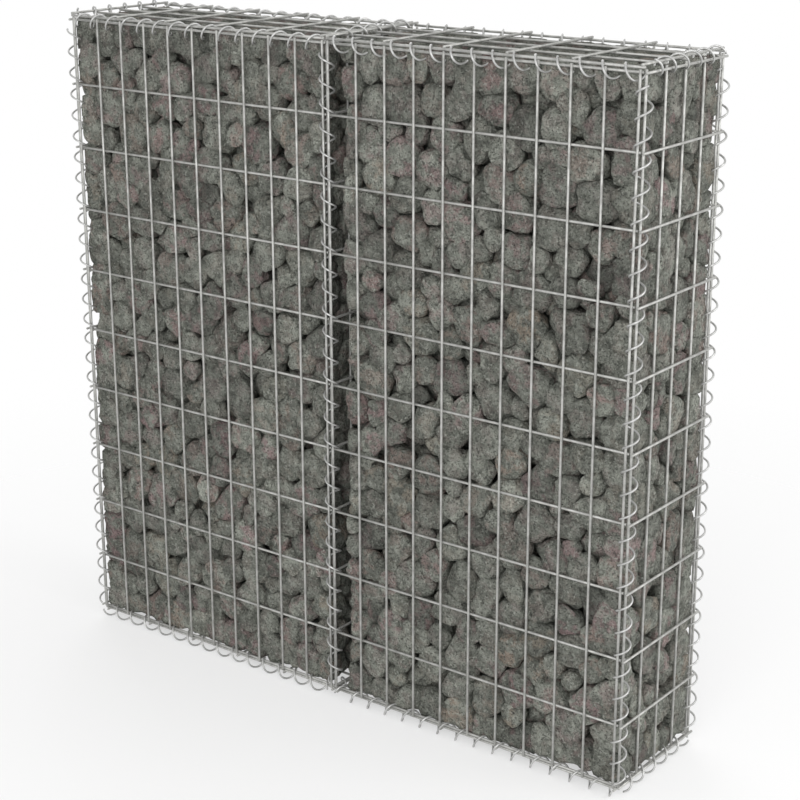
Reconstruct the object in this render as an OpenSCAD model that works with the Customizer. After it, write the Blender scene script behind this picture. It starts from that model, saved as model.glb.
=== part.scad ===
/* [Mesh panels] */
// Spacing of the close-set wires
cell_w = 50; // [40:1:60]
// Spacing of the wide-set wires
row_h = 100; // [80:1:120]
// Height of the lowest row, trimmed where it meets the base
first_row = 94; // [80:1:120]
// Cells along the front of one bay
bay_cells = 10; // [6:2:16]
// Cells through the thickness of the wall
depth_cells = 4; // [4:2:8]
// Rows of cells up the wall
wall_rows = 10; // [4:1:14]
// Diameter of the mesh wire
wire_d = 4; // [3.6:0.1:4.4]
// How far two crossing wires sink into each other at their weld
weld_sink = 0.4; // [0.2:0.1:0.8]
// Stub of a wire past the outermost weld
stub = 3.5; // [3:0.1:4]
// Stub of the uprights past the top wire, on which the lids rest
top_stub = 4.2; // [3.5:0.1:4.5]
// Longer stub of the level wires on the end panels
end_stub = 6; // [4:0.5:8]

/* [Joints between panels] */
// Edge wire of a bay's panels to the middle of the wall
joint_gap = 5; // [4.8:0.1:5.4]
// Gap between a front wire's stub and the end panel
end_gap = 1; // [0.8:0.1:1.4]
// Gap between the partition's stubs and the front and back panels
partition_gap = 1; // [0.8:0.1:1.4]
// Gap between pieces that rest on each other
seat_gap = 0.3; // [0.2:0.05:0.4]

/* [Lacing spirals] */
// Diameter of the lacing wire
lace_d = 3; // [2.6:0.1:3.2]
// Radius of a spiral at the middle of its wire, beyond the diameter of the mesh wire
lace_room = 6.5; // [6.3:0.1:7.5]
// Turns to one wide-set spacing of the mesh
lace_turns = 3; // [2:1:3]
// Straight steps in one turn
lace_steps = 8; // [8:1:16]

/* [Stone fill] */
// Top of the stones below the top wires
fill_drop = 6; // [5:1:80]
// Gap left beside the partition in the right bay
fill_gap = 18; // [8:1:25]

/* [Hidden] */
bay_w = bay_cells * cell_w;
half_d = depth_cells * cell_w / 2;
weld_step = wire_d - weld_sink;

// Rows: level wires from the lowest to the top one
lace_r = wire_d + lace_room;
inner_r = lace_r * cos(180 / lace_steps) - lace_d / 4;
seat_r = inner_r - wire_d / 2 - seat_gap;
lace_reach = lace_r + lace_d / 2;
base_z = seat_r + lace_reach;
rows = [base_z, for (i = [0:wall_rows - 1]) base_z + first_row + i * row_h];
top_z = rows[wall_rows];

// Planes of the panels
edge_x = joint_gap + bay_w;
front_y = half_d + wire_d;
level_y = front_y - weld_step;
end_x = edge_x + stub + end_gap + wire_d / 2;
end_level_x = end_x + weld_step;
lid_rise = top_stub + wire_d / 2 + seat_gap;
lid_y = front_y - wire_d / 4;
lid_x = edge_x + 0.85 * wire_d;
base_drop = wire_d + seat_gap;
base_x = edge_x + wire_d / 8;
partition_stub = wire_d / 2;
partition_edge = level_y - wire_d / 2 - partition_gap - partition_stub;
cross_count = bay_cells / 2;

// Axes of the spirals, each set so that the edge wires lie inside it
corner_turn = 31;
corner_seat = seat_r - seat_gap;
corner_x = edge_x + corner_seat * cos(corner_turn);
corner_y = front_y - corner_seat * sin(corner_turn);
middle_depth = front_y - partition_edge;
middle_y = (front_y + partition_edge) / 2 + (pow(joint_gap, 2) - pow(weld_step, 2)) / (2 * middle_depth);
top_lace_z = top_z + lid_rise - seat_r;
bottom_lace_z = base_z - seat_r;
lid_cross = lid_rise + weld_step;
base_cross = base_drop + weld_step;

// Height of a spiral's axis that is as far from two edge wires as from the wire below them
function middle_rise(cross) = (pow(joint_gap, 2) + pow(cross, 2)) / (2 * cross);

// Ends of the spirals, each clear of the spirals that it meets at a corner
lace_pitch = row_h / lace_turns;
side_pitch = 2 * cell_w / lace_turns;
lace_keep = lace_reach + lace_d / 2 + seat_gap;
upright_from = bottom_lace_z + lace_keep;
upright_to = top_lace_z - lace_keep;
edge_from = weld_step + wire_d / 2 + seat_gap + lace_d / 2;
edge_to = end_x - wire_d / 2 - seat_gap - lace_d / 2;
depth_to = level_y - lace_keep;

// Stone fill
fill_bevel = 1.15 * lace_reach;
fill_heel = 1.25 * lace_reach;
fill_shoulder = 0.75 * lace_reach;
fill_y = level_y - wire_d / 2 - seat_gap;
fill_end_x = end_x - wire_d / 2 - seat_gap;
fill_bottom = base_z - base_drop + wire_d / 2 + seat_gap;
fill_top = top_z - fill_drop;

bar_sides = 8;
lace_sides = 3;
galvanised = "silver";
stone = "dimgray";

// A straight wire along +Z with flats facing X and Y
module wire(length) {
    rotate([0, 0, 180 / bar_sides])
        cylinder(d = wire_d / cos(180 / bar_sides), h = length, $fn = bar_sides);
}

module upright_wire(x, y, z0, z1) {
    translate([x, y, z0]) wire(z1 - z0);
}

module long_wire(x0, x1, y, z) {
    translate([x0, y, z]) rotate([0, 90, 0]) wire(x1 - x0);
}

module cross_wire(x, y0, y1, z) {
    translate([x, y0, z]) rotate([-90, 0, 0]) wire(y1 - y0);
}

// Places across the wall: the mesh spacing, with the outermost wires at the given side
function across(side) =
    let (inner = depth_cells / 2 - 1)
    [-side, for (i = [-inner:inner]) i * cell_w, side];

// Panel of a bay's front: uprights outside, level wires behind them
module face_panel() {
    color(galvanised) union() {
        for (i = [0:bay_cells])
            upright_wire(joint_gap + i * cell_w, -front_y, rows[0] - stub, top_z + top_stub);
        for (z = rows) long_wire(joint_gap - stub, edge_x + stub, -level_y, z);
    }
}

// Panel that closes an end of the wall: level wires outside the uprights
module end_panel() {
    color(galvanised) union() {
        for (i = [0:depth_cells])
            upright_wire(end_x, i * cell_w - half_d, rows[0] - stub, top_z + top_stub);
        for (z = rows) cross_wire(end_level_x, -half_d - end_stub, half_d + end_stub, z);
    }
}

// Level panel of one bay, out to the wires at x = far and y = side: cross wires over long ones
module level_panel(far, side, rise) {
    cross_step = (far - joint_gap) / cross_count;
    color(galvanised) union() {
        for (y = across(side)) long_wire(joint_gap - stub, far + stub, y, rise);
        for (i = [0:cross_count])
            cross_wire(joint_gap + i * cross_step, -side - stub, side + stub, rise + weld_step);
    }
}

// Panel between the bays, trimmed to fit between front and back
module partition_panel() {
    partition_reach = partition_edge + partition_stub;
    color(galvanised) union() {
        for (y = across(partition_edge))
            upright_wire(-weld_step, y, rows[0] - wire_d / 2, top_z + wire_d / 2);
        for (z = rows) cross_wire(0, -partition_reach, partition_reach, z);
    }
}

module front_panel_right() { face_panel(); }
module front_panel_left() { mirror([1, 0, 0]) face_panel(); }
module back_panel_right() { mirror([0, 1, 0]) face_panel(); }
module back_panel_left() { mirror([1, 0, 0]) mirror([0, 1, 0]) face_panel(); }
module end_panel_right() { end_panel(); }
module end_panel_left() { mirror([1, 0, 0]) end_panel(); }
module lid_right() { translate([0, 0, top_z]) level_panel(lid_x, lid_y, lid_rise); }
module lid_left() { mirror([1, 0, 0]) lid_right(); }
module base_panel_right() {
    translate([0, 0, base_z]) mirror([0, 0, 1]) level_panel(base_x, half_d, base_drop);
}
module base_panel_left() { mirror([1, 0, 0]) base_panel_right(); }

// Point on a right-hand spiral along +Z, at an angle counted from +X
function spiral_point(angle, pitch) = [lace_r * cos(angle), lace_r * sin(angle), pitch * angle / 360];

// Corners of the wire's section, square to the wire, the first one facing outwards
function section(angle, pitch) =
    let (
        out = [cos(angle), sin(angle), 0],
        slope = atan2(pitch, 2 * PI * lace_r),
        up = [sin(angle) * sin(slope), -cos(angle) * sin(slope), cos(slope)],
        centre = spiral_point(angle, pitch)
    )
    [for (k = [0:lace_sides - 1])
        centre + lace_d / 2 * (cos(360 * k / lace_sides) * out + sin(360 * k / lace_sides) * up)];

// Spiral along +Z between two heights that passes the given angle at height z = 0.
// It is right-handed, or left-handed where hand is -1.
module spiral(z_from, z_to, pitch, angle, hand) {
    first_angle = 360 * z_from / pitch;
    turn = 360 * (z_to - z_from) / pitch;
    rings = round(turn / 360 * lace_steps);
    points = [for (i = [0:rings]) each section(first_angle + turn * i / rings, pitch)];
    sides = [for (i = [0:rings - 1], k = [0:lace_sides - 1])
        let (
            a = i * lace_sides + k,
            b = i * lace_sides + (k + 1) % lace_sides
        )
        each [[a, b, b + lace_sides], [a, b + lace_sides, a + lace_sides]]];
    first = [[for (k = [lace_sides - 1:-1:0]) k]];
    last = [[for (k = [0:lace_sides - 1]) rings * lace_sides + k]];
    color(galvanised) rotate([0, 0, angle]) mirror([0, hand < 0 ? 1 : 0, 0])
        polyhedron(points, concat(sides, first, last));
}

// Upright spiral at a corner or at the middle joint; its angle is the one at the level wires
module upright_spiral(x, y, angle, hand) {
    translate([x, y, rows[1]])
        spiral(upright_from - rows[1], upright_to - rows[1], lace_pitch, angle, hand);
}

// Spiral along a long edge of the right bay; its angle starts at +Y and turns towards +Z
module edge_spiral(y, z, angle, hand) {
    translate([joint_gap, y, z]) rotate([90, 0, 90])
        spiral(edge_from - joint_gap, edge_to - joint_gap, side_pitch, angle, hand);
}

// Spiral across the wall; its angle starts at +Z and turns towards +X
module depth_spiral(x, z, angle, hand) {
    translate([x, 0, z]) rotate([-90, -90, 0])
        spiral(-depth_to, depth_to, side_pitch, angle, hand);
}

// Angles at which each spiral passes the mesh's crossing wires with the most room
front_corner_angle = 124;
back_corner_angle = 92;
top_front_angle = 325;
top_back_angle = 225;
bottom_angle = 160;
top_end_angle = -131;
bottom_end_angle = -135;
centre_angle = -35;

// Close turns leave room to pass the level wires only on the outer side
close_turns = lace_pitch < 4.5 * (wire_d + lace_d);
middle_angle = close_turns ? -90 : 45;

module front_right_spiral() { upright_spiral(corner_x, -corner_y, front_corner_angle, 1); }
module front_left_spiral() { mirror([1, 0, 0]) front_right_spiral(); }
module back_right_spiral() { upright_spiral(corner_x, corner_y, back_corner_angle, 1); }
module back_left_spiral() { mirror([1, 0, 0]) back_right_spiral(); }
module front_middle_spiral() { upright_spiral(0, -middle_y, middle_angle, -1); }
module back_middle_spiral() { upright_spiral(0, middle_y, -middle_angle, -1); }

module top_front_right_spiral() { edge_spiral(-lid_y, top_lace_z, top_front_angle, 1); }
module top_front_left_spiral() { mirror([1, 0, 0]) top_front_right_spiral(); }
module top_back_right_spiral() { edge_spiral(lid_y, top_lace_z, top_back_angle, 1); }
module top_back_left_spiral() { mirror([1, 0, 0]) top_back_right_spiral(); }
module top_right_spiral() { depth_spiral((lid_x + end_level_x) / 2, top_z + lid_cross / 2, top_end_angle, 1); }
module top_left_spiral() { mirror([1, 0, 0]) top_right_spiral(); }
module top_middle_spiral() { depth_spiral(0, top_z + middle_rise(lid_cross), centre_angle, 1); }

module bottom_front_right_spiral() { edge_spiral(-level_y, bottom_lace_z, -bottom_angle, -1); }
module bottom_front_left_spiral() { mirror([1, 0, 0]) bottom_front_right_spiral(); }
module bottom_back_right_spiral() { edge_spiral(level_y, bottom_lace_z, bottom_angle - 180, -1); }
module bottom_back_left_spiral() { mirror([1, 0, 0]) bottom_back_right_spiral(); }
module bottom_right_spiral() {
    depth_spiral((base_x + end_level_x) / 2, base_z - base_cross / 2, 180 - bottom_end_angle, -1);
}
module bottom_left_spiral() { mirror([1, 0, 0]) bottom_right_spiral(); }
module bottom_middle_spiral() {
    depth_spiral(0, base_z - middle_rise(base_cross), 180 - centre_angle, -1);
}

// Outline with its listed corners cut off at 45 degrees
module bevelled(x0, x1, y0, y1, low, high) {
    polygon([
        [x0 + low, y0], [x1 - low, y0], [x1, y0 + low], [x1, y1 - high],
        [x1 - high, y1], [x0 + high, y1], [x0, y1 - high], [x0, y0 + low]
    ]);
}

// Body of stone from x0 to x1, cut back along its edges to clear the spirals
module stone_body(x0, x1) {
    height = fill_top - fill_bottom;
    color(stone) intersection() {
        translate([0, 0, fill_bottom]) linear_extrude(height)
            bevelled(x0, x1, -fill_y, fill_y, fill_bevel, fill_bevel);
        translate([x0, 0, 0]) rotate([90, 0, 90]) linear_extrude(x1 - x0)
            bevelled(-fill_y, fill_y, fill_bottom, fill_top, fill_bevel, fill_shoulder);
        translate([0, fill_y, 0]) rotate([90, 0, 0]) linear_extrude(2 * fill_y)
            bevelled(x0, x1, fill_bottom, fill_top, fill_heel, fill_shoulder);
    }
}

module stone_fill_right() { stone_body(wire_d / 2 + fill_gap, fill_end_x); }
module stone_fill_left() { stone_body(-fill_end_x, -weld_step - wire_d / 2 - seat_gap); }

front_panel_left();
front_panel_right();
back_panel_left();
back_panel_right();
end_panel_left();
end_panel_right();
partition_panel();
lid_left();
lid_right();
base_panel_left();
base_panel_right();
front_left_spiral();
front_middle_spiral();
front_right_spiral();
back_left_spiral();
back_middle_spiral();
back_right_spiral();
top_front_left_spiral();
top_front_right_spiral();
top_back_left_spiral();
top_back_right_spiral();
top_left_spiral();
top_middle_spiral();
top_right_spiral();
bottom_front_left_spiral();
bottom_front_right_spiral();
bottom_back_left_spiral();
bottom_back_right_spiral();
bottom_left_spiral();
bottom_middle_spiral();
bottom_right_spiral();
stone_fill_left();
stone_fill_right();
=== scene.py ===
"""Gabion wall: two laced baskets of welded mesh full of broken stone, dressed around the CAD frame."""

import logging
import math
from dataclasses import dataclass, field
from enum import Enum

import bmesh
import bpy
import numpy as np
from mathutils import Matrix, Vector

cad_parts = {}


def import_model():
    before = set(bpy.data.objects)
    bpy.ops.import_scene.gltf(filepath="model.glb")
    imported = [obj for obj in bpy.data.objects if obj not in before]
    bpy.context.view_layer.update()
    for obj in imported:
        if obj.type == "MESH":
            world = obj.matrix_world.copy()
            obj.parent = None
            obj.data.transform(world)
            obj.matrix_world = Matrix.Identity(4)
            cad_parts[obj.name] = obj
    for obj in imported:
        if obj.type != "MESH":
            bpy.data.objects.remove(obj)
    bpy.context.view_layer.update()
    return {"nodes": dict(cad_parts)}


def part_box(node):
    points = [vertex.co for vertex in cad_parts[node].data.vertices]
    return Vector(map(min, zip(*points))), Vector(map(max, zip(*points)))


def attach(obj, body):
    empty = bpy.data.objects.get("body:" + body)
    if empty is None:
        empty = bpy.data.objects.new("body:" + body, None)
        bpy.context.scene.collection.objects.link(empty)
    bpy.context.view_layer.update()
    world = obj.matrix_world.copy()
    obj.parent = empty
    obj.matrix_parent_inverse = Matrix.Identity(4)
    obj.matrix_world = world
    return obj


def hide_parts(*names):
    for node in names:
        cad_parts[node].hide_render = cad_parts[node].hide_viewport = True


MM = 0.001
ROOT = "root"
LOG = logging.getLogger("gabion_wall")

Colour = tuple[float, float, float]
Place = tuple[float, float, float]
Socket = bpy.types.NodeSocket
WHITE: Colour = (1.0, 1.0, 1.0)


class Axis(Enum):
    """Direction in the wall's frame: along the wall, through it and up."""

    X = 0
    Y = 1
    Z = 2

    @property
    def unit(self) -> Vector:
        """Unit vector of the direction."""
        return Vector([float(i == self.value) for i in range(3)])

    @property
    def from_z(self) -> Matrix:
        """Turn that lays a shape made along +Z along this direction."""
        return Vector((0, 0, 1)).rotation_difference(self.unit).to_matrix().to_4x4()


class Hand(Enum):
    """Turning sense of a spiral about the positive direction of its axis."""

    RIGHT = 1
    LEFT = -1


class Side(Enum):
    """Lower or higher side along a direction of the frame."""

    LOW = 0
    HIGH = 1


class Slot(Enum):
    """Names of the material slots."""

    MESH = "mesh_wire"
    LACING = "lacing_wire"
    STONE = "stone"


class Graph:
    """Adds and joins the nodes of one shader tree."""

    def __init__(self, tree: bpy.types.NodeTree) -> None:
        """Takes over a tree and empties it."""
        self.tree = tree
        self.tree.nodes.clear()

    def add(self, kind: str, settings: dict[str, object] | None = None,
            **inputs: object) -> bpy.types.Node:
        """Adds one node.

        Args:
            kind: Blender's name of the node type.
            settings: properties of the node, such as its mode.
            **inputs: a value or another node's output for each named input, with _ for a space.

        Returns:
            The new node.
        """
        node = self.tree.nodes.new(kind)
        for name, value in (settings or {}).items():
            setattr(node, name, value)
        for name, value in inputs.items():
            self.feed(node.inputs[name.replace("_", " ")], value)
        return node

    def feed(self, socket: Socket, value: object) -> None:
        """Joins an output to a socket, or sets the socket's own value.

        Args:
            socket: the input to fill.
            value: an output socket, a number, or a colour of three numbers.
        """
        if isinstance(value, bpy.types.NodeSocket):
            self.tree.links.new(value, socket)
        elif socket.type == "RGBA" and len(value) == 3:
            socket.default_value = (*value, 1.0)
        else:
            socket.default_value = value

    def blend(self, share: object, first: object, second: object) -> Socket:
        """Mixes two colours.

        Args:
            share: how much of the second colour shows, from 0 to 1.
            first: the colour at 0.
            second: the colour at 1.

        Returns:
            The mixed colour.
        """
        node = self.add("ShaderNodeMix", {"data_type": "RGBA", "blend_type": "MIX"})
        for index, value in ((0, share), (6, first), (7, second)):
            self.feed(node.inputs[index], value)
        return node.outputs[2]

    def span(self, value: object, low: float, high: float,
             start: float = 0.0, end: float = 1.0) -> Socket:
        """Stretches a range of values onto another and clamps it.

        Args:
            value: what is stretched.
            low: lower end of the range.
            high: upper end of the range.
            start: result at the lower end.
            end: result at the upper end.

        Returns:
            The stretched value.
        """
        node = self.add("ShaderNodeMapRange", None, Value=value, From_Min=low, From_Max=high,
                        To_Min=start, To_Max=end)
        return node.outputs["Result"]

    def math(self, operation: str, first: object, second: object) -> Socket:
        """Joins two values by one operation.

        Args:
            operation: Blender's name of the operation.
            first: the first value.
            second: the second value.

        Returns:
            The result.
        """
        node = self.add("ShaderNodeMath", {"operation": operation})
        self.feed(node.inputs[0], first)
        self.feed(node.inputs[1], second)
        return node.outputs[0]

    def attribute(self, name: str) -> Socket:
        """Reads one number that is stored on the mesh."""
        return self.add("ShaderNodeAttribute", {"attribute_name": name}).outputs["Fac"]

    def place(self) -> Socket:
        """Reads the place on the piece, in metres."""
        return self.add("ShaderNodeTexCoord").outputs["Object"]

    def seen(self) -> Socket:
        """Tells where the camera looks, directly or through metal and glass.

        Returns:
            1 for such a ray and 0 for any other.
        """
        path = self.add("ShaderNodeLightPath")
        seen = self.math("MAXIMUM", path.outputs["Is Camera Ray"], path.outputs["Is Glossy Ray"])
        return self.math("MAXIMUM", seen, path.outputs["Is Transmission Ray"])


class Effects:
    """Shader groups that several finishes share, each built once."""

    def __init__(self) -> None:
        """Builds the groups."""
        self.mottle = self._mottle()
        self.grit = self._grit()

    @staticmethod
    def _shell(name: str, numbers: dict[str, float],
               result: str) -> tuple[Graph, bpy.types.Node, bpy.types.Node]:
        """Starts a group that reads a place and some numbers and gives one number.

        Args:
            name: name of the group.
            numbers: inputs and their defaults.
            result: name of the output.

        Returns:
            The group's graph, its input node and its output node.
        """
        tree = bpy.data.node_groups.new(name, "ShaderNodeTree")
        tree.interface.new_socket("Place", in_out="INPUT", socket_type="NodeSocketVector")
        for label, value in numbers.items():
            socket = tree.interface.new_socket(label, in_out="INPUT", socket_type="NodeSocketFloat")
            socket.default_value = value
        tree.interface.new_socket(result, in_out="OUTPUT", socket_type="NodeSocketFloat")
        graph = Graph(tree)
        return graph, graph.add("NodeGroupInput"), graph.add("NodeGroupOutput")

    def _mottle(self) -> bpy.types.NodeTree:
        """Soft cloudy patches, as a mask.

        Returns:
            The group.
        """
        numbers = {"Scale": 40.0, "Detail": 5.0, "Low": 0.4, "High": 0.6}
        graph, source, sink = self._shell("mottle", numbers, "Mask")
        cloud = graph.add("ShaderNodeTexNoise", None, Vector=source.outputs["Place"],
                          Scale=source.outputs["Scale"], Detail=source.outputs["Detail"], Roughness=0.6)
        patch = graph.add("ShaderNodeMapRange", {"interpolation_type": "SMOOTHSTEP"},
                          Value=cloud.outputs["Fac"], From_Min=source.outputs["Low"],
                          From_Max=source.outputs["High"])
        graph.feed(sink.inputs["Mask"], patch.outputs["Result"])
        return graph.tree

    def _grit(self) -> bpy.types.NodeTree:
        """Rough broken grain with small pits, as a height.

        Returns:
            The group.
        """
        graph, source, sink = self._shell("grit", {"Scale": 120.0, "Pits": 0.5}, "Height")
        grain = graph.add("ShaderNodeTexNoise", None, Vector=source.outputs["Place"],
                          Scale=source.outputs["Scale"], Detail=6.0, Roughness=0.62)
        pits = graph.add("ShaderNodeTexVoronoi", None, Vector=source.outputs["Place"],
                         Scale=source.outputs["Scale"])
        hollow = graph.math("MULTIPLY", pits.outputs["Distance"], source.outputs["Pits"])
        graph.feed(sink.inputs["Height"], graph.math("ADD", grain.outputs["Fac"], hollow))
        return graph.tree

    @staticmethod
    def use(graph: Graph, group: bpy.types.NodeTree, **inputs: object) -> Socket:
        """Places a group in a material.

        Args:
            graph: the material's graph.
            group: the group to place.
            **inputs: its inputs.

        Returns:
            The group's output.
        """
        node = graph.add("ShaderNodeGroup", {"node_tree": group})
        for name, value in inputs.items():
            graph.feed(node.inputs[name], value)
        return node.outputs[0]

    def clouds(self, graph: Graph, place: Socket, scale: float, detail: float,
               low: float, high: float) -> Socket:
        """Places the cloudy patches in a material.

        Args:
            graph: the material's graph.
            place: where on the piece it is read.
            scale: how fine the patches are.
            detail: how broken their edges are.
            low: cloud value at which a patch begins.
            high: cloud value at which it is full.

        Returns:
            The patches as a mask.
        """
        return self.use(graph, self.mottle, Place=place, Scale=scale, Detail=detail, Low=low, High=high)

    def grain(self, graph: Graph, place: Socket, scale: float, pits: float) -> Socket:
        """Places the broken grain in a material.

        Args:
            graph: the material's graph.
            place: where on the piece it is read.
            scale: how fine the grain is.
            pits: how deep its pits are.

        Returns:
            The grain as a height.
        """
        return self.use(graph, self.grit, Place=place, Scale=scale, Pits=pits)


@dataclass(frozen=True)
class ZincFinish:
    """Dull zinc coating on drawn wire.

    Attributes:
        name: name of the material.
        dark: colour of the dull patches.
        light: colour of the bright ones.
        metallic: how far it shines like bare metal.
        smooth: roughness where it is bright.
        rough: roughness where it is dull.
        relief: depth of its grain.
    """

    name: str
    dark: Colour
    light: Colour
    metallic: float
    smooth: float
    rough: float
    relief: float = 0.2 * MM

    def material(self, effects: Effects) -> bpy.types.Material:
        """Makes the finish.

        Args:
            effects: the shared groups.

        Returns:
            The material.
        """
        made = bpy.data.materials.new(self.name)
        made.use_nodes = True
        graph = Graph(made.node_tree)
        place = graph.place()
        cloud = effects.clouds(graph, place, scale=70.0, detail=4.0, low=0.35, high=0.68)
        bloom = effects.clouds(graph, place, scale=420.0, detail=2.0, low=0.45, high=0.75)
        height = effects.grain(graph, place, scale=900.0, pits=0.2)
        colour = graph.blend(cloud, self.dark, self.light)
        colour = graph.blend(graph.span(bloom, 0.0, 1.0, 0.0, 0.35), colour, self.light)
        bump = graph.add("ShaderNodeBump", None, Strength=0.25, Distance=self.relief, Height=height)
        surface = graph.add("ShaderNodeBsdfPrincipled", None, Base_Color=colour, Metallic=self.metallic,
                            Roughness=graph.span(cloud, 0.0, 1.0, self.rough, self.smooth),
                            Normal=bump.outputs["Normal"])
        graph.add("ShaderNodeOutputMaterial", None, Surface=surface.outputs["BSDF"])
        return made


@dataclass(frozen=True)
class RockFinish:
    """Broken grey rock with brown and pink patches.

    Attributes:
        name: name of the material.
        dark: darker colour of the rock's body.
        light: lighter colour of the rock's body.
        speck: colour of the pale specks.
        crumb: colour of the dark crumbs; it also darkens the hollows of the coarse grain as painted
            shade.
        pink: one end of the stains.
        brown: the other end of the stains.
        lumps: depth of the coarse relief.
        grit: depth of the fine relief.
    """

    name: str
    dark: Colour
    light: Colour
    speck: Colour
    crumb: Colour
    pink: Colour
    brown: Colour
    lumps: float = 22.0 * MM
    grit: float = 2.6 * MM

    def material(self, effects: Effects) -> bpy.types.Material:
        """Makes the finish.

        Args:
            effects: the shared groups.

        Returns:
            The material.
        """
        made = bpy.data.materials.new(self.name)
        made.use_nodes = True
        graph = Graph(made.node_tree)
        place = graph.place()
        body = effects.clouds(graph, place, scale=45.0, detail=8.0, low=0.32, high=0.68)
        crumb = effects.clouds(graph, place, scale=290.0, detail=4.0, low=0.53, high=0.63)
        speck = effects.clouds(graph, place, scale=240.0, detail=4.0, low=0.53, high=0.66)
        stain = effects.clouds(graph, place, scale=42.0, detail=5.0, low=0.45, high=0.6)
        colour = graph.blend(body, self.dark, self.light)
        warm = graph.blend(graph.attribute("stone_hue"), self.pink, self.brown)
        colour = graph.blend(graph.math("MULTIPLY", stain, graph.attribute("stone_stain")), colour, warm)
        coarse = effects.grain(graph, place, scale=75.0, pits=0.5)
        # Painted shade: the low, hollow parts of the coarse grain are darkened up to halfway towards the
        # crumb colour.
        colour = graph.blend(graph.span(coarse, 0.45, 0.8, 0.5, 0.0), colour, self.crumb)
        colour = graph.blend(graph.span(speck, 0.0, 1.0, 0.0, 0.6), colour, self.speck)
        colour = graph.blend(graph.span(crumb, 0.0, 1.0, 0.0, 0.7), colour, self.crumb)
        toned = graph.add("ShaderNodeHueSaturation", None, Value=graph.attribute("stone_tone"),
                          Color=colour)
        fine = effects.grain(graph, place, scale=330.0, pits=0.4)
        lumps = graph.add("ShaderNodeBump", None, Strength=1.0, Distance=self.lumps, Height=coarse)
        grain = graph.add("ShaderNodeBump", None, Strength=0.9, Distance=self.grit, Height=fine,
                          Normal=lumps.outputs["Normal"])
        surface = graph.add("ShaderNodeBsdfPrincipled", None, Base_Color=toned.outputs["Color"],
                            Roughness=graph.span(body, 0.0, 1.0, 0.95, 0.82), Specular_IOR_Level=0.3,
                            Normal=grain.outputs["Normal"])
        graph.add("ShaderNodeOutputMaterial", None, Surface=surface.outputs["BSDF"])
        return made


class Piece:
    """What every piece of the wall has in common."""

    def hang(self, mesh: bpy.types.Mesh, name: str, node: str, slot: Slot,
             finish: bpy.types.Material) -> bpy.types.Object:
        """Puts a finished mesh into the scene in place of a CAD node.

        Args:
            mesh: the mesh, with its place in its vertices.
            name: name of the piece.
            node: the CAD node that it stands for.
            slot: a material slot name; not used.
            finish: its material.

        Returns:
            The piece.
        """
        mesh.materials.append(finish)
        mesh.polygons.foreach_set("use_smooth", np.ones(len(mesh.polygons), bool))
        piece = bpy.data.objects.new(name, mesh)
        bpy.context.scene.collection.objects.link(piece)
        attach(piece, ROOT)
        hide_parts(node)
        LOG.info("%s: %d faces for %s", name, len(mesh.polygons), node)
        return piece


@dataclass(frozen=True)
class WireRow:
    """Parallel wires of one panel, all at one level."""

    along: Axis
    spread: Axis
    places: tuple[float, ...]
    level: float
    start: float
    end: float

    @property
    def stack(self) -> Axis:
        """Direction across the panel."""
        return Axis(3 - self.along.value - self.spread.value)

    def point(self, along: float, spread: float, level: float) -> Vector:
        """Point given by its three distances in this row's own directions."""
        return self.along.unit * along + self.spread.unit * spread + self.stack.unit * level


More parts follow.
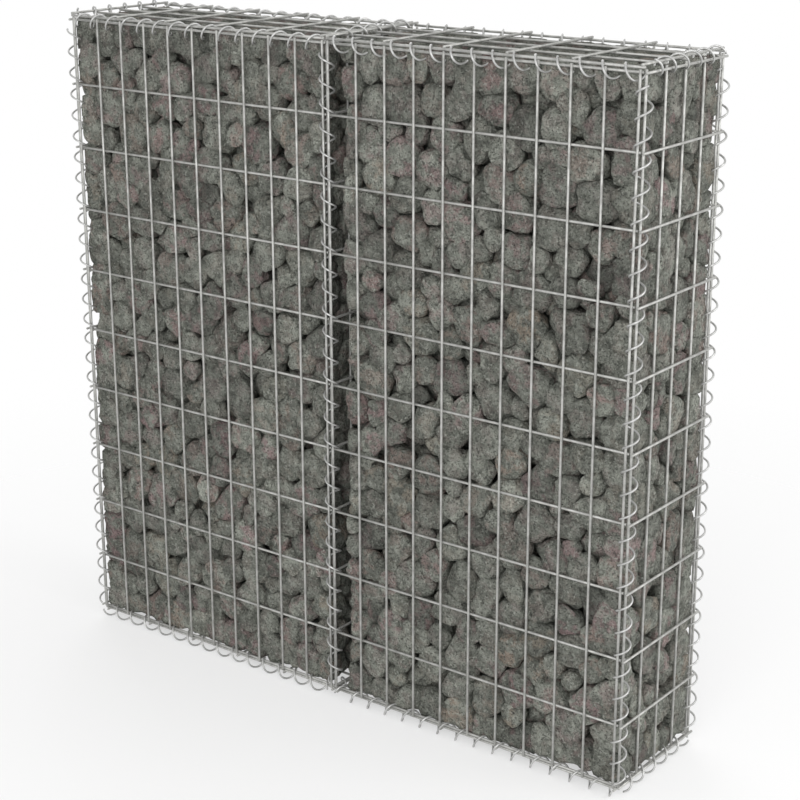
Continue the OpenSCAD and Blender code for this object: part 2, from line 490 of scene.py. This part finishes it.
@dataclass
class MeshPanel(Piece):
    """Flat panel of welded mesh, with round wires and a weld at each crossing.

    Attributes:
        node: the CAD node that it stands for.
        outer: side of the panel on which its first set of wires lies.
        cell: width of a mesh cell.
        row: height of a mesh cell.
        stub: what a wire runs on past the last wire that it crosses.
        top_stub: the same at the upper ends of the uprights.
        cad_r: half the thickness of the CAD wires, which sets their axes.
        wire_r: radius of the round wires.
        weld_r: radius of the weld beads.
        weld_squash: how far a bead is flattened across the panel and widened along it.
        chamfer: bevel at the wires' cut ends.
        sides: sides of a wire's round section.
        slack: what a row may fall short by and still count as whole.
    """

    node: str
    outer: Side
    cell: float = 50 * MM
    row: float = 100 * MM
    stub: float = 3.5 * MM
    top_stub: float = 4.2 * MM
    cad_r: float = 2.0 * MM
    wire_r: float = 1.85 * MM
    weld_r: float = 1.8 * MM
    weld_squash: tuple[float, float] = (0.75, 1.25)
    chamfer: float = 0.6 * MM
    sides: int = 12
    slack: float = 1 * MM

    def rows(self) -> tuple[WireRow, WireRow]:
        """The two crossing sets of wires, the outer one first."""
        raise NotImplementedError

    @staticmethod
    def spaced(first: float, last: float, step: float) -> tuple[float, ...]:
        """Evenly spaced places from the first to the last, about one step apart."""
        return tuple(np.linspace(first, last, round((last - first) / step) + 1).tolist())

    def across(self, side: float) -> tuple[float, ...]:
        """Places through the wall: whole cells about the middle, and a wire at each side."""
        inner = (round(side / self.cell) - 1) * self.cell
        return (-side, *self.spaced(-inner, inner, self.cell), side)

    def levels(self, low: float, high: float) -> tuple[float, float]:
        """Levels of the outer and inner wires between the panel's two faces."""
        pair = (low + self.cad_r, high - self.cad_r)
        return pair if self.outer is Side.LOW else pair[::-1]

    def heights(self, low: float, high: float) -> tuple[float, ...]:
        """Heights of the level wires: the bottom one, then whole rows down from the top."""
        count = int((high - low - self.slack) / self.row)
        return (low, *(high - self.row * i for i in range(count, -1, -1)))

    def build(self, finish: bpy.types.Material) -> bpy.types.Object:
        """Models the panel.

        Args:
            finish: its material.

        Returns:
            The panel's piece.
        """
        shape = bmesh.new()
        outer, inner = self.rows()
        for row in (outer, inner):
            for spot in row.places:
                self._wire(shape, row, spot)
        rims = [e for e in shape.edges if any(len(f.verts) > 4 for f in e.link_faces)]
        bmesh.ops.bevel(shape, geom=rims, offset=self.chamfer, segments=1, profile=0.5, affect="EDGES",
                        material=-1, clamp_overlap=True)
        seam = (outer.level + inner.level) / 2
        for across in outer.places:
            for along in inner.places:
                self._weld(shape, outer.point(along, across, seam), outer.stack)
        mesh = bpy.data.meshes.new(self.node + "_wires")
        shape.to_mesh(mesh)
        shape.free()
        return self.hang(mesh, self.node + "_wires", self.node, Slot.MESH, finish)

    def _wire(self, shape: bmesh.types.BMesh, row: WireRow, spot: float) -> None:
        """Adds one straight wire.

        Args:
            shape: the panel's mesh.
            row: the set that the wire belongs to.
            spot: the wire's place in the set.
        """
        middle = row.point((row.start + row.end) / 2, spot, row.level)
        bmesh.ops.create_cone(shape, cap_ends=True, segments=self.sides, radius1=self.wire_r,
                              radius2=self.wire_r, depth=row.end - row.start,
                              matrix=Matrix.Translation(middle) @ row.along.from_z)

    def _weld(self, shape: bmesh.types.BMesh, point: Vector, stack: Axis) -> None:
        """Adds the bead of metal at a crossing.

        Args:
            shape: the panel's mesh.
            point: where the two wires meet.
            stack: direction across the panel.
        """
        flat, wide = self.weld_squash
        squeeze = Matrix.Diagonal([flat if i == stack.value else wide for i in range(3)]).to_4x4()
        bmesh.ops.create_icosphere(shape, subdivisions=1, radius=self.weld_r,
                                   matrix=Matrix.Translation(point) @ squeeze)


@dataclass
class FacePanel(MeshPanel):
    """Front or back panel of a bay, with its uprights outside."""

    def rows(self) -> tuple[WireRow, WireRow]:
        """The uprights and the level wires behind them.

        Returns:
            The outer set and the inner set.
        """
        low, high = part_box(self.node)
        outside, inside = self.levels(low.y, high.y)
        columns = self.spaced(low.x + self.stub, high.x - self.stub, self.cell)
        heights = self.heights(low.z + self.stub, high.z - self.top_stub)
        return (WireRow(Axis.Z, Axis.X, columns, outside, low.z, high.z),
                WireRow(Axis.X, Axis.Z, heights, inside, low.x, high.x))


@dataclass
class EndPanel(MeshPanel):
    """End panel of the wall, with its level wires outside and long stubs at the corners."""

    end_stub: float = 6.0 * MM

    def rows(self) -> tuple[WireRow, WireRow]:
        """The level wires and the uprights behind them.

        Returns:
            The outer set and the inner set.
        """
        low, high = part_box(self.node)
        outside, inside = self.levels(low.x, high.x)
        columns = self.spaced(low.y + self.end_stub, high.y - self.end_stub, self.cell)
        heights = self.heights(low.z + self.stub, high.z - self.top_stub)
        return (WireRow(Axis.Y, Axis.Z, heights, outside, low.y, high.y),
                WireRow(Axis.Z, Axis.Y, columns, inside, low.z, high.z))


@dataclass
class LidPanel(MeshPanel):
    """Lid or base panel of a bay, with its cross wires outside."""

    def rows(self) -> tuple[WireRow, WireRow]:
        """The cross wires and the long wires behind them.

        Returns:
            The outer set and the inner set.
        """
        low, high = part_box(self.node)
        outside, inside = self.levels(low.z, high.z)
        crossings = self.spaced(low.x + self.stub, high.x - self.stub, self.row)
        lines = self.across(high.y - self.stub)
        return (WireRow(Axis.Y, Axis.X, crossings, outside, low.y, high.y),
                WireRow(Axis.X, Axis.Y, lines, inside, low.x, high.x))


@dataclass
class PartitionPanel(MeshPanel):
    """Panel between the bays, cut short to pass between the front and the back."""

    def rows(self) -> tuple[WireRow, WireRow]:
        """The level wires and the uprights beside them.

        Returns:
            The outer set and the inner set.
        """
        low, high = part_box(self.node)
        outside, inside = self.levels(low.x, high.x)
        columns = self.across(high.y - self.cad_r)
        heights = self.heights(low.z + self.cad_r, high.z - self.cad_r)
        return (WireRow(Axis.Y, Axis.Z, heights, outside, low.y, high.y),
                WireRow(Axis.Z, Axis.Y, columns, inside, low.z, high.z))


@dataclass
class LacingSpiral(Piece):
    """Coil of lacing wire that is wound along an edge to tie the panels together.

    Attributes:
        node: the CAD node that it stands for.
        axis: direction of the edge.
        hand: turning sense.
        pitch: distance between turns.
        coil_r: radius of the turns, to the middle of the wire.
        wire_r: radius of the wire.
        tip: length of the CAD spiral's end that is read to find its angle, in radii of the wire.
        steps: straight steps in one turn.
        sides: sides of the wire's round section.
        merge: distance within which points of neighbouring turns are one.
    """

    node: str
    axis: Axis
    hand: Hand
    pitch: float = 100 * MM / 3
    coil_r: float = 10.5 * MM
    wire_r: float = 1.5 * MM
    tip: float = 1.8
    steps: int = 24
    sides: int = 8
    merge: float = 0.001 * MM

    def start(self, mesh: bpy.types.Mesh) -> tuple[Vector, float, float]:
        """Finds where the CAD spiral begins.

        Args:
            mesh: the CAD node's mesh.

        Returns:
            The point on the axis, the angle there and the length along the axis.
        """
        turned = self.axis.from_z.inverted()
        points = np.array([turned @ v.co for v in mesh.vertices])
        low, high = points.min(0), points.max(0)
        middle = (low + high) / 2
        tip = points[points[:, 2] < low[2] + self.wire_r * self.tip]
        ring = tip.mean(0)
        first, last = tip[:, 2].min(), tip[:, 2].max()
        angle = math.atan2(ring[1] - middle[1], ring[0] - middle[0])
        origin = Vector((middle[0], middle[1], (first + last) / 2))
        return origin, angle, high[2] - low[2] - (last - first)

    def _wind(self, shape: bmesh.types.BMesh, ring: list, origin: Vector, steps: int) -> list:
        """Winds a ring of wire on round the axis.

        Args:
            shape: the spiral's mesh.
            ring: the points and edges of the wire's end.
            origin: a point on the axis.
            steps: how many steps to wind.

        Returns:
            The points and edges of the new end.
        """
        if not steps:
            return ring
        return bmesh.ops.spin(shape, geom=ring, cent=origin, axis=(0, 0, 1), steps=steps,
                              dvec=(0, 0, self.pitch / self.steps),
                              angle=self.hand.value * 2 * math.pi * steps / self.steps)["geom_last"]

    def build(self, mesh: bpy.types.Mesh, finish: bpy.types.Material) -> bpy.types.Object:
        """Models the spiral.

        Args:
            mesh: the CAD node's mesh, for its place.
            finish: its material.

        Returns:
            The spiral's piece.
        """
        origin, angle, length = self.start(mesh)
        whole, rest = divmod(round(length / self.pitch * self.steps), self.steps)
        lead = math.atan2(self.pitch, 2 * math.pi * self.coil_r) * self.hand.value
        shape = bmesh.new()
        ring = bmesh.ops.create_circle(shape, cap_ends=False, segments=self.sides,
                                       radius=self.wire_r)["verts"]
        stand = Matrix.Rotation(math.pi / 2 + lead, 4, "X")
        seat = (Matrix.Translation(origin) @ Matrix.Rotation(angle, 4, "Z")
                @ Matrix.Translation((self.coil_r, 0, 0)) @ stand)
        bmesh.ops.transform(shape, matrix=seat, verts=ring)
        tip = self._wind(shape, shape.verts[:] + shape.edges[:], origin, rest)
        begun = set(shape.faces)
        self._wind(shape, tip, origin, self.steps)
        turn = [f for f in shape.faces if f not in begun]
        for lap in range(1, whole):
            copied = bmesh.ops.duplicate(shape, geom=turn)["geom"]
            bmesh.ops.translate(shape, vec=(0, 0, self.pitch * lap),
                                verts=[g for g in copied if isinstance(g, bmesh.types.BMVert)])
        bmesh.ops.remove_doubles(shape, verts=shape.verts, dist=self.merge)
        bmesh.ops.holes_fill(shape, edges=[e for e in shape.edges if e.is_boundary], sides=self.sides)
        bmesh.ops.transform(shape, matrix=self.axis.from_z, verts=shape.verts)
        bmesh.ops.recalc_face_normals(shape, faces=shape.faces)
        made = bpy.data.meshes.new(self.node + "_wire")
        shape.to_mesh(made)
        shape.free()
        return self.hang(made, self.node + "_wire", self.node, Slot.LACING, finish)


@dataclass(frozen=True)
class Heap:
    """Balls shaken down in a bay, before each is shaped into a stone.

    Attributes:
        low: lower corner of the bay.
        high: upper corner of the bay.
        middles: the balls' middles.
        radii: the balls' radii.
    """

    low: np.ndarray
    high: np.ndarray
    middles: np.ndarray
    radii: np.ndarray

    @property
    def depths(self) -> np.ndarray:
        """Distance of each ball's middle from the nearest side of the bay."""
        return np.minimum(self.middles - self.low, self.high - self.middles).min(1)

    def fences(self) -> tuple[np.ndarray, np.ndarray]:
        """Planes that bound the bay: its six sides, and one through each edge.

        Returns:
            The planes' outward normals and their distances from the origin.
        """
        sides = np.vstack([-np.eye(3), np.eye(3)])
        reach = np.concatenate([-self.low, self.high])
        pairs = [(i, j) for i in range(6) for j in range(i) if i % 3 != j % 3]
        cuts = np.array([(sides[i] + sides[j]) / math.sqrt(2) for i, j in pairs])
        limits = np.array([(reach[i] + reach[j]) / math.sqrt(2) for i, j in pairs])
        return np.vstack([sides, cuts]), np.concatenate([reach, limits])


@dataclass
class StoneBay(Piece):
    """Loose stones that fill one bay, shaken down and fitted to their neighbours.

    Attributes:
        node: the CAD node that they stand for.
        joint: side of the bay that meets the other bay, where the stones lie looser.
        seed: start of the bay's random draws.
        mean_r: radius of a middling stone.
        spread: smallest and largest stone, in middling radii.
        share: volume of the balls over that of the bay.
        trials: balls drawn to choose from.
        shakes: rounds of pushing the balls apart.
        relist: rounds after which the neighbours are listed again.
        reach: distance within which two balls are neighbours, over the sum of their radii.
        push: share of an overlap that each of two balls gives way by in a round.
        margin: least distance of a ball's middle from the bay's sides, in its radii.
        draw: distance within which a ball beside an edge is drawn up to it, in its radii.
        overlap: how far neighbouring stones run into each other before they are rounded.
        near: distance within which a ball is shaped by others, over its own and the largest radius.
        least: least depth of a stone, in its ball's radii.
        sharpness: power of the sum that rounds a stone's edges.
        cap: size of the round body that holds a stone in, in its ball's radii.
        close_cap: how much larger it is for stones beside an edge and in the core.
        close: room to a side within which a stone counts as beside it, in its ball's radii.
        stretch: range of its three half lengths.
        tilt: how far a stone's flat sides lean from the mesh.
        press: how far the stones press against the mesh.
        sunk: how far they lie back from it, on average.
        deepest: how far they lie back at most, over the average.
        loose: how far they lie back at the joint, at most.
        rise: how far the heap stands above the CAD fill.
        lift: how much further its top stones stand up towards the lid.
        chips: flat chips broken off each stone.
        bite: how far out the chips lie, in the ball's radii.
        lump: strength of the lumps.
        waves: waves that make up the lumps.
        pace: range of their lengths, as waves over a ball.
        shell: depth of the shown stones below the bay's sides, in middling radii.
        face_cuts: cuts across a ball's sides for the shown stones.
        core_cuts: the same for the hidden ones.
        tone: spread of the stones' brightness.
        stained: share of the stones with strong stains.
        stain: range of their stains.
        plain_stain: stain of the others.
    """

    node: str
    joint: Side
    seed: int
    mean_r: float = 21.5 * MM
    spread: tuple[float, float] = (0.62, 1.45)
    share: float = 0.77
    trials: int = 20000
    shakes: int = 120
    relist: int = 8
    reach: float = 1.25
    push: float = 0.35
    margin: float = 0.62
    draw: float = 1.6
    overlap: float = 5.5 * MM
    near: float = 2.2
    least: float = 0.3
    sharpness: float = 8.0
    cap: float = 1.24
    close_cap: float = 1.55
    close: float = 1.5
    stretch: tuple[float, float] = (0.86, 1.16)
    tilt: float = 0.12
    press: float = 2.5 * MM
    sunk: float = 1.6 * MM
    deepest: float = 4.0
    loose: float = 6.0 * MM
    rise: float = 8.0 * MM
    lift: float = 2.4 * MM
    chips: int = 5
    bite: tuple[float, float] = (0.95, 1.4)
    lump: float = 0.2
    waves: int = 14
    pace: tuple[float, float] = (2.5, 10.0)
    shell: float = 1.7
    face_cuts: int = 5
    core_cuts: int = 1
    tone: float = 0.14
    stained: float = 0.6
    stain: tuple[float, float] = (0.3, 0.9)
    plain_stain: float = 0.2
    rng: np.random.Generator = field(init=False)

    def __post_init__(self) -> None:
        """Starts the bay's own random draws."""
        self.rng = np.random.default_rng(self.seed)

    @staticmethod
    def ball(cuts: int) -> tuple[np.ndarray, np.ndarray]:
        """Makes a ball of squares.

        Args:
            cuts: cuts across each side of the starting cube.

        Returns:
            The directions of its points and its faces.
        """
        shape = bmesh.new()
        bmesh.ops.create_cube(shape, size=2.0)
        bmesh.ops.subdivide_edges(shape, edges=shape.edges[:], cuts=cuts, use_grid_fill=True)
        points = np.tan(np.array([v.co for v in shape.verts]) * math.pi / 4)
        faces = np.array([[v.index for v in f.verts] for f in shape.faces])
        shape.free()
        return points / np.linalg.norm(points, axis=1, keepdims=True), faces

    def heap(self) -> Heap:
        """Fills the bay with balls and shakes them until they hardly overlap.

        Returns:
            The balls.
        """
        low, high = (np.array(corner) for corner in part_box(self.node))
        high[2] += self.rise
        trial = self.mean_r * self.rng.uniform(*self.spread, self.trials)
        room = float(np.prod(high - low)) * self.share
        count = int(np.searchsorted(np.cumsum(4 / 3 * math.pi * trial**3), room))
        radii = trial[:count]
        middles = self.rng.uniform(low, high, (count, 3))
        margin = (radii * self.margin)[:, None]
        for shake in range(self.shakes):
            if shake % self.relist == 0:
                squares = (middles**2).sum(1)
                spans = squares[:, None] + squares[None] - 2 * middles @ middles.T
                limits = (self.reach * (radii[:, None] + radii[None])) ** 2
                first, second = np.nonzero(np.triu(spans < limits, 1))
            apart = middles[first] - middles[second]
            gaps = np.sqrt((apart**2).sum(1)) + 1e-9
            overlaps = np.clip(radii[first] + radii[second] - gaps, 0.0, None)
            push = apart * (overlaps / gaps * self.push)[:, None]
            for axis in range(3):
                pushed = np.bincount(first, push[:, axis], count)
                middles[:, axis] += pushed - np.bincount(second, push[:, axis], count)
            lower = middles - low < high - middles
            nearest = np.where(lower, low + margin, high - margin)
            beside = np.minimum(middles - low, high - middles) < self.draw * radii[:, None]
            beside[:, 0] &= lower[:, 0] != (self.joint is Side.LOW)
            beside &= np.count_nonzero(beside, axis=1)[:, None] > 1
            middles = np.clip(np.where(beside, nearest, middles), low + margin, high - margin)
        return Heap(low, high, middles, radii)

    def turn(self) -> np.ndarray:
        """Draws a random turn in space.

        Returns:
            The turn as a matrix.
        """
        turned = np.linalg.qr(self.rng.normal(size=(3, 3)))[0]
        turned[:, 0] *= np.sign(np.linalg.det(turned))
        return turned

    def stone(self, heap: Heap, index: int, ball: np.ndarray) -> np.ndarray:
        """Shapes one stone against its neighbours and the basket.

        Args:
            heap: all the balls of the bay.
            index: which of them becomes this stone.
            ball: directions of the stone's points.

        Returns:
            The stone's points.
        """
        rng, centre, size = self.rng, heap.middles[index], heap.radii[index]
        ways = ball @ self.turn()
        apart = heap.middles - centre
        gaps = np.sqrt((apart**2).sum(1))
        near = np.flatnonzero((gaps > 0) & (gaps < self.near * (size + heap.radii.max())))
        planes = apart[near] / gaps[near, None]
        reach = (gaps[near] ** 2 + size**2 - heap.radii[near] ** 2) / (2 * gaps[near]) + self.overlap / 2
        fences, limits = heap.fences()
        sinks = np.minimum(rng.exponential(self.sunk, len(limits)), self.deepest * self.sunk)
        open_side = fences[:, 0] * (1 if self.joint is Side.HIGH else -1) > 0.5
        sinks[open_side] += self.press + rng.uniform(0.0, self.loose)
        raised = limits + self.press + self.lift * np.clip(fences[:, 2], 0.0, None)
        room = raised - fences @ centre - sinks
        fences = fences + rng.normal(0.0, self.tilt, fences.shape)
        fences /= np.linalg.norm(fences, axis=1, keepdims=True)
        chips = rng.normal(size=(self.chips, 3))
        chips /= np.linalg.norm(chips, axis=1, keepdims=True)
        bite = size * rng.uniform(*self.bite, self.chips)
        normals = np.vstack([planes, fences, chips])
        depths = np.maximum(np.concatenate([reach, room, bite]), self.least * size)
        beside = np.count_nonzero((room[:6] < self.close * size) & ~open_side[:6])
        wide = 1.0 if beside == 1 else self.close_cap
        swell = rng.uniform(*self.stretch, 3) * self.cap * size * wide
        form = (np.clip(ways @ normals.T / depths, 0.0, None) ** self.sharpness).sum(1)
        form += np.sqrt(((ways @ self.turn() / swell) ** 2).sum(1)) ** self.sharpness
        waves = rng.normal(size=(self.waves, 3))
        pace = rng.uniform(*self.pace, self.waves)
        waves *= (pace / np.linalg.norm(waves, axis=1))[:, None]
        swing = (np.sin(ways @ waves.T + rng.uniform(0, 2 * math.pi, self.waves)) / pace).sum(1)
        reach_out = form ** (-1 / self.sharpness) * (1 + self.lump * swing)
        inset = rng.uniform(0.0, self.sunk, 6)
        top = heap.high + np.array([0.0, 0.0, self.lift])
        return np.clip(centre + ways * reach_out[:, None], heap.low + inset[:3], top - inset[3:])

    def build(self, finish: bpy.types.Material) -> list[bpy.types.Object]:
        """Models the bay's stones in three pieces: front, back and core.

        Args:
            finish: their material.

        Returns:
            The pieces.
        """
        heap = self.heap()
        core = heap.depths > self.shell * self.mean_r
        ahead = heap.middles[:, 1] < 0
        groups = {"front": ~core & ahead, "back": ~core & ~ahead, "core": core}
        return [self._group(name, heap, np.flatnonzero(chosen), finish)
                for name, chosen in groups.items()]

    def _group(self, name: str, heap: Heap, chosen: np.ndarray,
               finish: bpy.types.Material) -> bpy.types.Object:
        """Joins some of the stones into one piece.

        Args:
            name: name of the group.
            heap: all the balls of the bay.
            chosen: which of them make this piece.
            finish: the stones' material.

        Returns:
            The piece.
        """
        ball, faces = self.ball(self.core_cuts if name == "core" else self.face_cuts)
        points = [self.stone(heap, index, ball) for index in chosen]
        shifted = [faces + len(ball) * k for k in range(len(chosen))]
        mesh = bpy.data.meshes.new(f"{self.node}_{name}")
        mesh.from_pydata(np.concatenate(points), [], np.concatenate(shifted))
        count = len(chosen)
        strong = self.rng.random(count) < self.stained
        looks = {
            "stone_stain": np.where(strong, self.rng.uniform(*self.stain, count), self.plain_stain),
            "stone_tone": self.rng.normal(1.0, self.tone, count),
            "stone_hue": self.rng.random(count) ** 2,
        }
        for label, values in looks.items():
            store = mesh.attributes.new(label, "FLOAT", "POINT")
            store.data.foreach_set("value", np.repeat(values, len(ball)).astype(np.float32))
        LOG.info("%s: %d stones", mesh.name, count)
        return self.hang(mesh, f"{self.node}_{name}", self.node, Slot.STONE, finish)


@dataclass(frozen=True)
class Lamp:
    """Square soft lamp.

    Attributes:
        name: name of the lamp.
        place: where it hangs.
        size: length of its side.
        power: its power in watts.
    """

    name: str
    place: Place
    size: float
    power: float

    def hang(self, target: Place) -> bpy.types.Object:
        """Hangs the lamp.

        Args:
            target: the point that it faces.

        Returns:
            The lamp's object.
        """
        data = bpy.data.lights.new(self.name, "AREA")
        data.shape, data.size, data.energy = "SQUARE", self.size, self.power
        lamp = bpy.data.objects.new(self.name, data)
        lamp.location = self.place
        facing = Vector(target) - Vector(self.place)
        lamp.rotation_euler = facing.to_track_quat("-Z", "Y").to_euler()
        bpy.context.scene.collection.objects.link(lamp)
        return lamp


@dataclass
class Studio:
    """Floor, light and camera.

    Attributes:
        azimuth: the camera's turn about the wall from the front, in degrees.
        elevation: its height above the level, in degrees.
        roll: its roll, in degrees.
        distance: its distance from the target.
        target: the point that the camera and the lamps face.
        lens: focal length in mm.
        sensor: width of the film in mm.
        ambient: strength of the soft light all round.
        floor_size: length of the floor's side.
        floor_fade: distances from the middle between which the floor fades out.
        floor_colour: colour of the floor.
        floor_rough: roughness of the floor.
        floor_glow: share of plain white in the floor that the camera sees.
        lamps: the lamps.
    """

    azimuth: float = 37.386
    elevation: float = 17.962
    roll: float = -0.102
    distance: float = 2.7348
    target: Place = (0.05456, -0.0040, 0.4743)
    lens: float = 81.476
    sensor: float = 36.0
    ambient: float = 0.62
    floor_size: float = 6.0
    floor_fade: tuple[float, float] = (0.5, 1.7)
    floor_colour: Colour = WHITE
    floor_rough: float = 0.9
    floor_glow: float = 0.55
    lamps: tuple[Lamp, ...] = (
        Lamp("key", (1.7, -3.6, 2.1), 2.6, 71.0),
        Lamp("fill", (3.5, 0.5, 1.7), 2.4, 54.0),
        Lamp("back", (-2.8, 2.6, 2.8), 2.6, 34.0),
    )

    def floor_finish(self) -> bpy.types.Material:
        """Makes the floor's finish, which keeps the shadow and fades out into the white around it.

        Returns:
            The material.
        """
        made = bpy.data.materials.new("pale_floor")
        made.use_nodes = True
        made.cycles.emission_sampling = "NONE"
        graph = Graph(made.node_tree)
        away = graph.add("ShaderNodeVectorMath", {"operation": "LENGTH"}, Vector=graph.place())
        surface = graph.add("ShaderNodeBsdfPrincipled", None, Base_Color=self.floor_colour,
                            Roughness=self.floor_rough)
        glow = graph.add("ShaderNodeEmission", None, Color=self.floor_colour, Strength=1.0)
        shown = graph.add("ShaderNodeMixShader", None,
                          Fac=graph.span(graph.seen(), 0.0, 1.0, 0.0, self.floor_glow))
        graph.feed(shown.inputs[1], surface.outputs["BSDF"])
        graph.feed(shown.inputs[2], glow.outputs["Emission"])
        clear = graph.add("ShaderNodeBsdfTransparent")
        mixed = graph.add("ShaderNodeMixShader", None,
                          Fac=graph.span(away.outputs["Value"], *self.floor_fade))
        graph.feed(mixed.inputs[1], shown.outputs["Shader"])
        graph.feed(mixed.inputs[2], clear.outputs["BSDF"])
        graph.add("ShaderNodeOutputMaterial", None, Surface=mixed.outputs["Shader"])
        return made

    def floor(self) -> bpy.types.Object:
        """Lays the floor.

        Returns:
            The floor.
        """
        shape = bmesh.new()
        bmesh.ops.create_grid(shape, x_segments=1, y_segments=1, size=self.floor_size / 2)
        mesh = bpy.data.meshes.new("floor")
        shape.to_mesh(mesh)
        shape.free()
        mesh.materials.append(self.floor_finish())
        floor = bpy.data.objects.new("floor", mesh)
        bpy.context.scene.collection.objects.link(floor)
        return floor

    def world(self) -> None:
        """Surrounds the wall with soft light, white where the camera or a mirror sees it."""
        world = bpy.data.worlds.new("studio")
        world.use_nodes = True
        bpy.context.scene.world = world
        graph = Graph(world.node_tree)
        sky = graph.add("ShaderNodeBackground", None, Color=WHITE,
                        Strength=graph.span(graph.seen(), 0.0, 1.0, self.ambient, 1.0))
        graph.add("ShaderNodeOutputWorld", None, Surface=sky.outputs["Background"])

    def camera(self) -> bpy.types.Object:
        """Sets the camera at the photograph's angle.

        Returns:
            The camera.
        """
        turn, lift = math.radians(self.azimuth), math.radians(self.elevation)
        level = math.cos(lift)
        back = Vector((math.sin(turn) * level, -math.cos(turn) * level, math.sin(lift)))
        data = bpy.data.cameras.new("camera")
        data.lens, data.sensor_width = self.lens, self.sensor
        camera = bpy.data.objects.new("camera", data)
        stand = Matrix.Translation(Vector(self.target) + back * self.distance)
        facing = (-back).to_track_quat("-Z", "Y").to_matrix().to_4x4()
        roll = Matrix.Rotation(math.radians(self.roll), 4, "Z")
        camera.matrix_world = stand @ facing @ roll
        bpy.context.scene.collection.objects.link(camera)
        bpy.context.scene.camera = camera
        return camera

    def build(self) -> None:
        """Sets up the whole studio."""
        self.floor()
        self.world()
        for lamp in self.lamps:
            lamp.hang(self.target)
        self.camera()
        bpy.context.scene.view_settings.view_transform = "Standard"


MESH_ZINC = ZincFinish("mesh_zinc", dark=(0.37, 0.37, 0.353), light=(0.525, 0.525, 0.502),
                       metallic=0.55, smooth=0.45, rough=0.62)
LACING_ZINC = ZincFinish("lacing_zinc", dark=(0.4, 0.4, 0.39), light=(0.58, 0.58, 0.57),
                         metallic=0.65, smooth=0.34, rough=0.5)
# The rock's crumb colour also serves as painted shade in the hollows of its grain.
BROKEN_ROCK = RockFinish("broken_rock", dark=(0.19, 0.199, 0.171), light=(0.4, 0.416, 0.363),
                         speck=(0.55, 0.563, 0.505), crumb=(0.066, 0.069, 0.059),
                         pink=(0.385, 0.265, 0.265), brown=(0.41, 0.345, 0.27))

PANELS: tuple[MeshPanel, ...] = (
    FacePanel("front_panel_left", Side.LOW),
    FacePanel("front_panel_right", Side.LOW),
    FacePanel("back_panel_left", Side.HIGH),
    FacePanel("back_panel_right", Side.HIGH),
    EndPanel("end_panel_left", Side.LOW),
    EndPanel("end_panel_right", Side.HIGH),
    PartitionPanel("partition_panel", Side.HIGH),
    LidPanel("lid_left", Side.HIGH),
    LidPanel("lid_right", Side.HIGH),
    LidPanel("base_panel_left", Side.LOW),
    LidPanel("base_panel_right", Side.LOW),
)

SPIRALS: tuple[LacingSpiral, ...] = (
    LacingSpiral("front_left_spiral", Axis.Z, Hand.LEFT),
    LacingSpiral("front_middle_spiral", Axis.Z, Hand.LEFT),
    LacingSpiral("front_right_spiral", Axis.Z, Hand.RIGHT),
    LacingSpiral("back_left_spiral", Axis.Z, Hand.LEFT),
    LacingSpiral("back_middle_spiral", Axis.Z, Hand.LEFT),
    LacingSpiral("back_right_spiral", Axis.Z, Hand.RIGHT),
    LacingSpiral("top_front_left_spiral", Axis.X, Hand.LEFT),
    LacingSpiral("top_front_right_spiral", Axis.X, Hand.RIGHT),
    LacingSpiral("top_back_left_spiral", Axis.X, Hand.LEFT),
    LacingSpiral("top_back_right_spiral", Axis.X, Hand.RIGHT),
    LacingSpiral("top_left_spiral", Axis.Y, Hand.LEFT),
    LacingSpiral("top_middle_spiral", Axis.Y, Hand.RIGHT),
    LacingSpiral("top_right_spiral", Axis.Y, Hand.RIGHT),
    LacingSpiral("bottom_front_left_spiral", Axis.X, Hand.RIGHT),
    LacingSpiral("bottom_front_right_spiral", Axis.X, Hand.LEFT),
    LacingSpiral("bottom_back_left_spiral", Axis.X, Hand.RIGHT),
    LacingSpiral("bottom_back_right_spiral", Axis.X, Hand.LEFT),
    LacingSpiral("bottom_left_spiral", Axis.Y, Hand.RIGHT),
    LacingSpiral("bottom_middle_spiral", Axis.Y, Hand.LEFT),
    LacingSpiral("bottom_right_spiral", Axis.Y, Hand.LEFT),
)

FILLS: tuple[StoneBay, ...] = (
    StoneBay("stone_fill_left", Side.HIGH, 11),
    StoneBay("stone_fill_right", Side.LOW, 23),
)


def main() -> None:
    """Builds the wall around the CAD frame."""
    logging.basicConfig(level=logging.INFO, format="%(name)s: %(message)s")
    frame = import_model()
    effects = Effects()
    mesh_zinc = MESH_ZINC.material(effects)
    lacing_zinc = LACING_ZINC.material(effects)
    rock = BROKEN_ROCK.material(effects)
    for panel in PANELS:
        panel.build(mesh_zinc)
    for spiral in SPIRALS:
        spiral.build(frame["nodes"][spiral.node].data, lacing_zinc)
    for fill in FILLS:
        fill.build(rock)
    Studio().build()


if __name__ == "__main__":
    main()
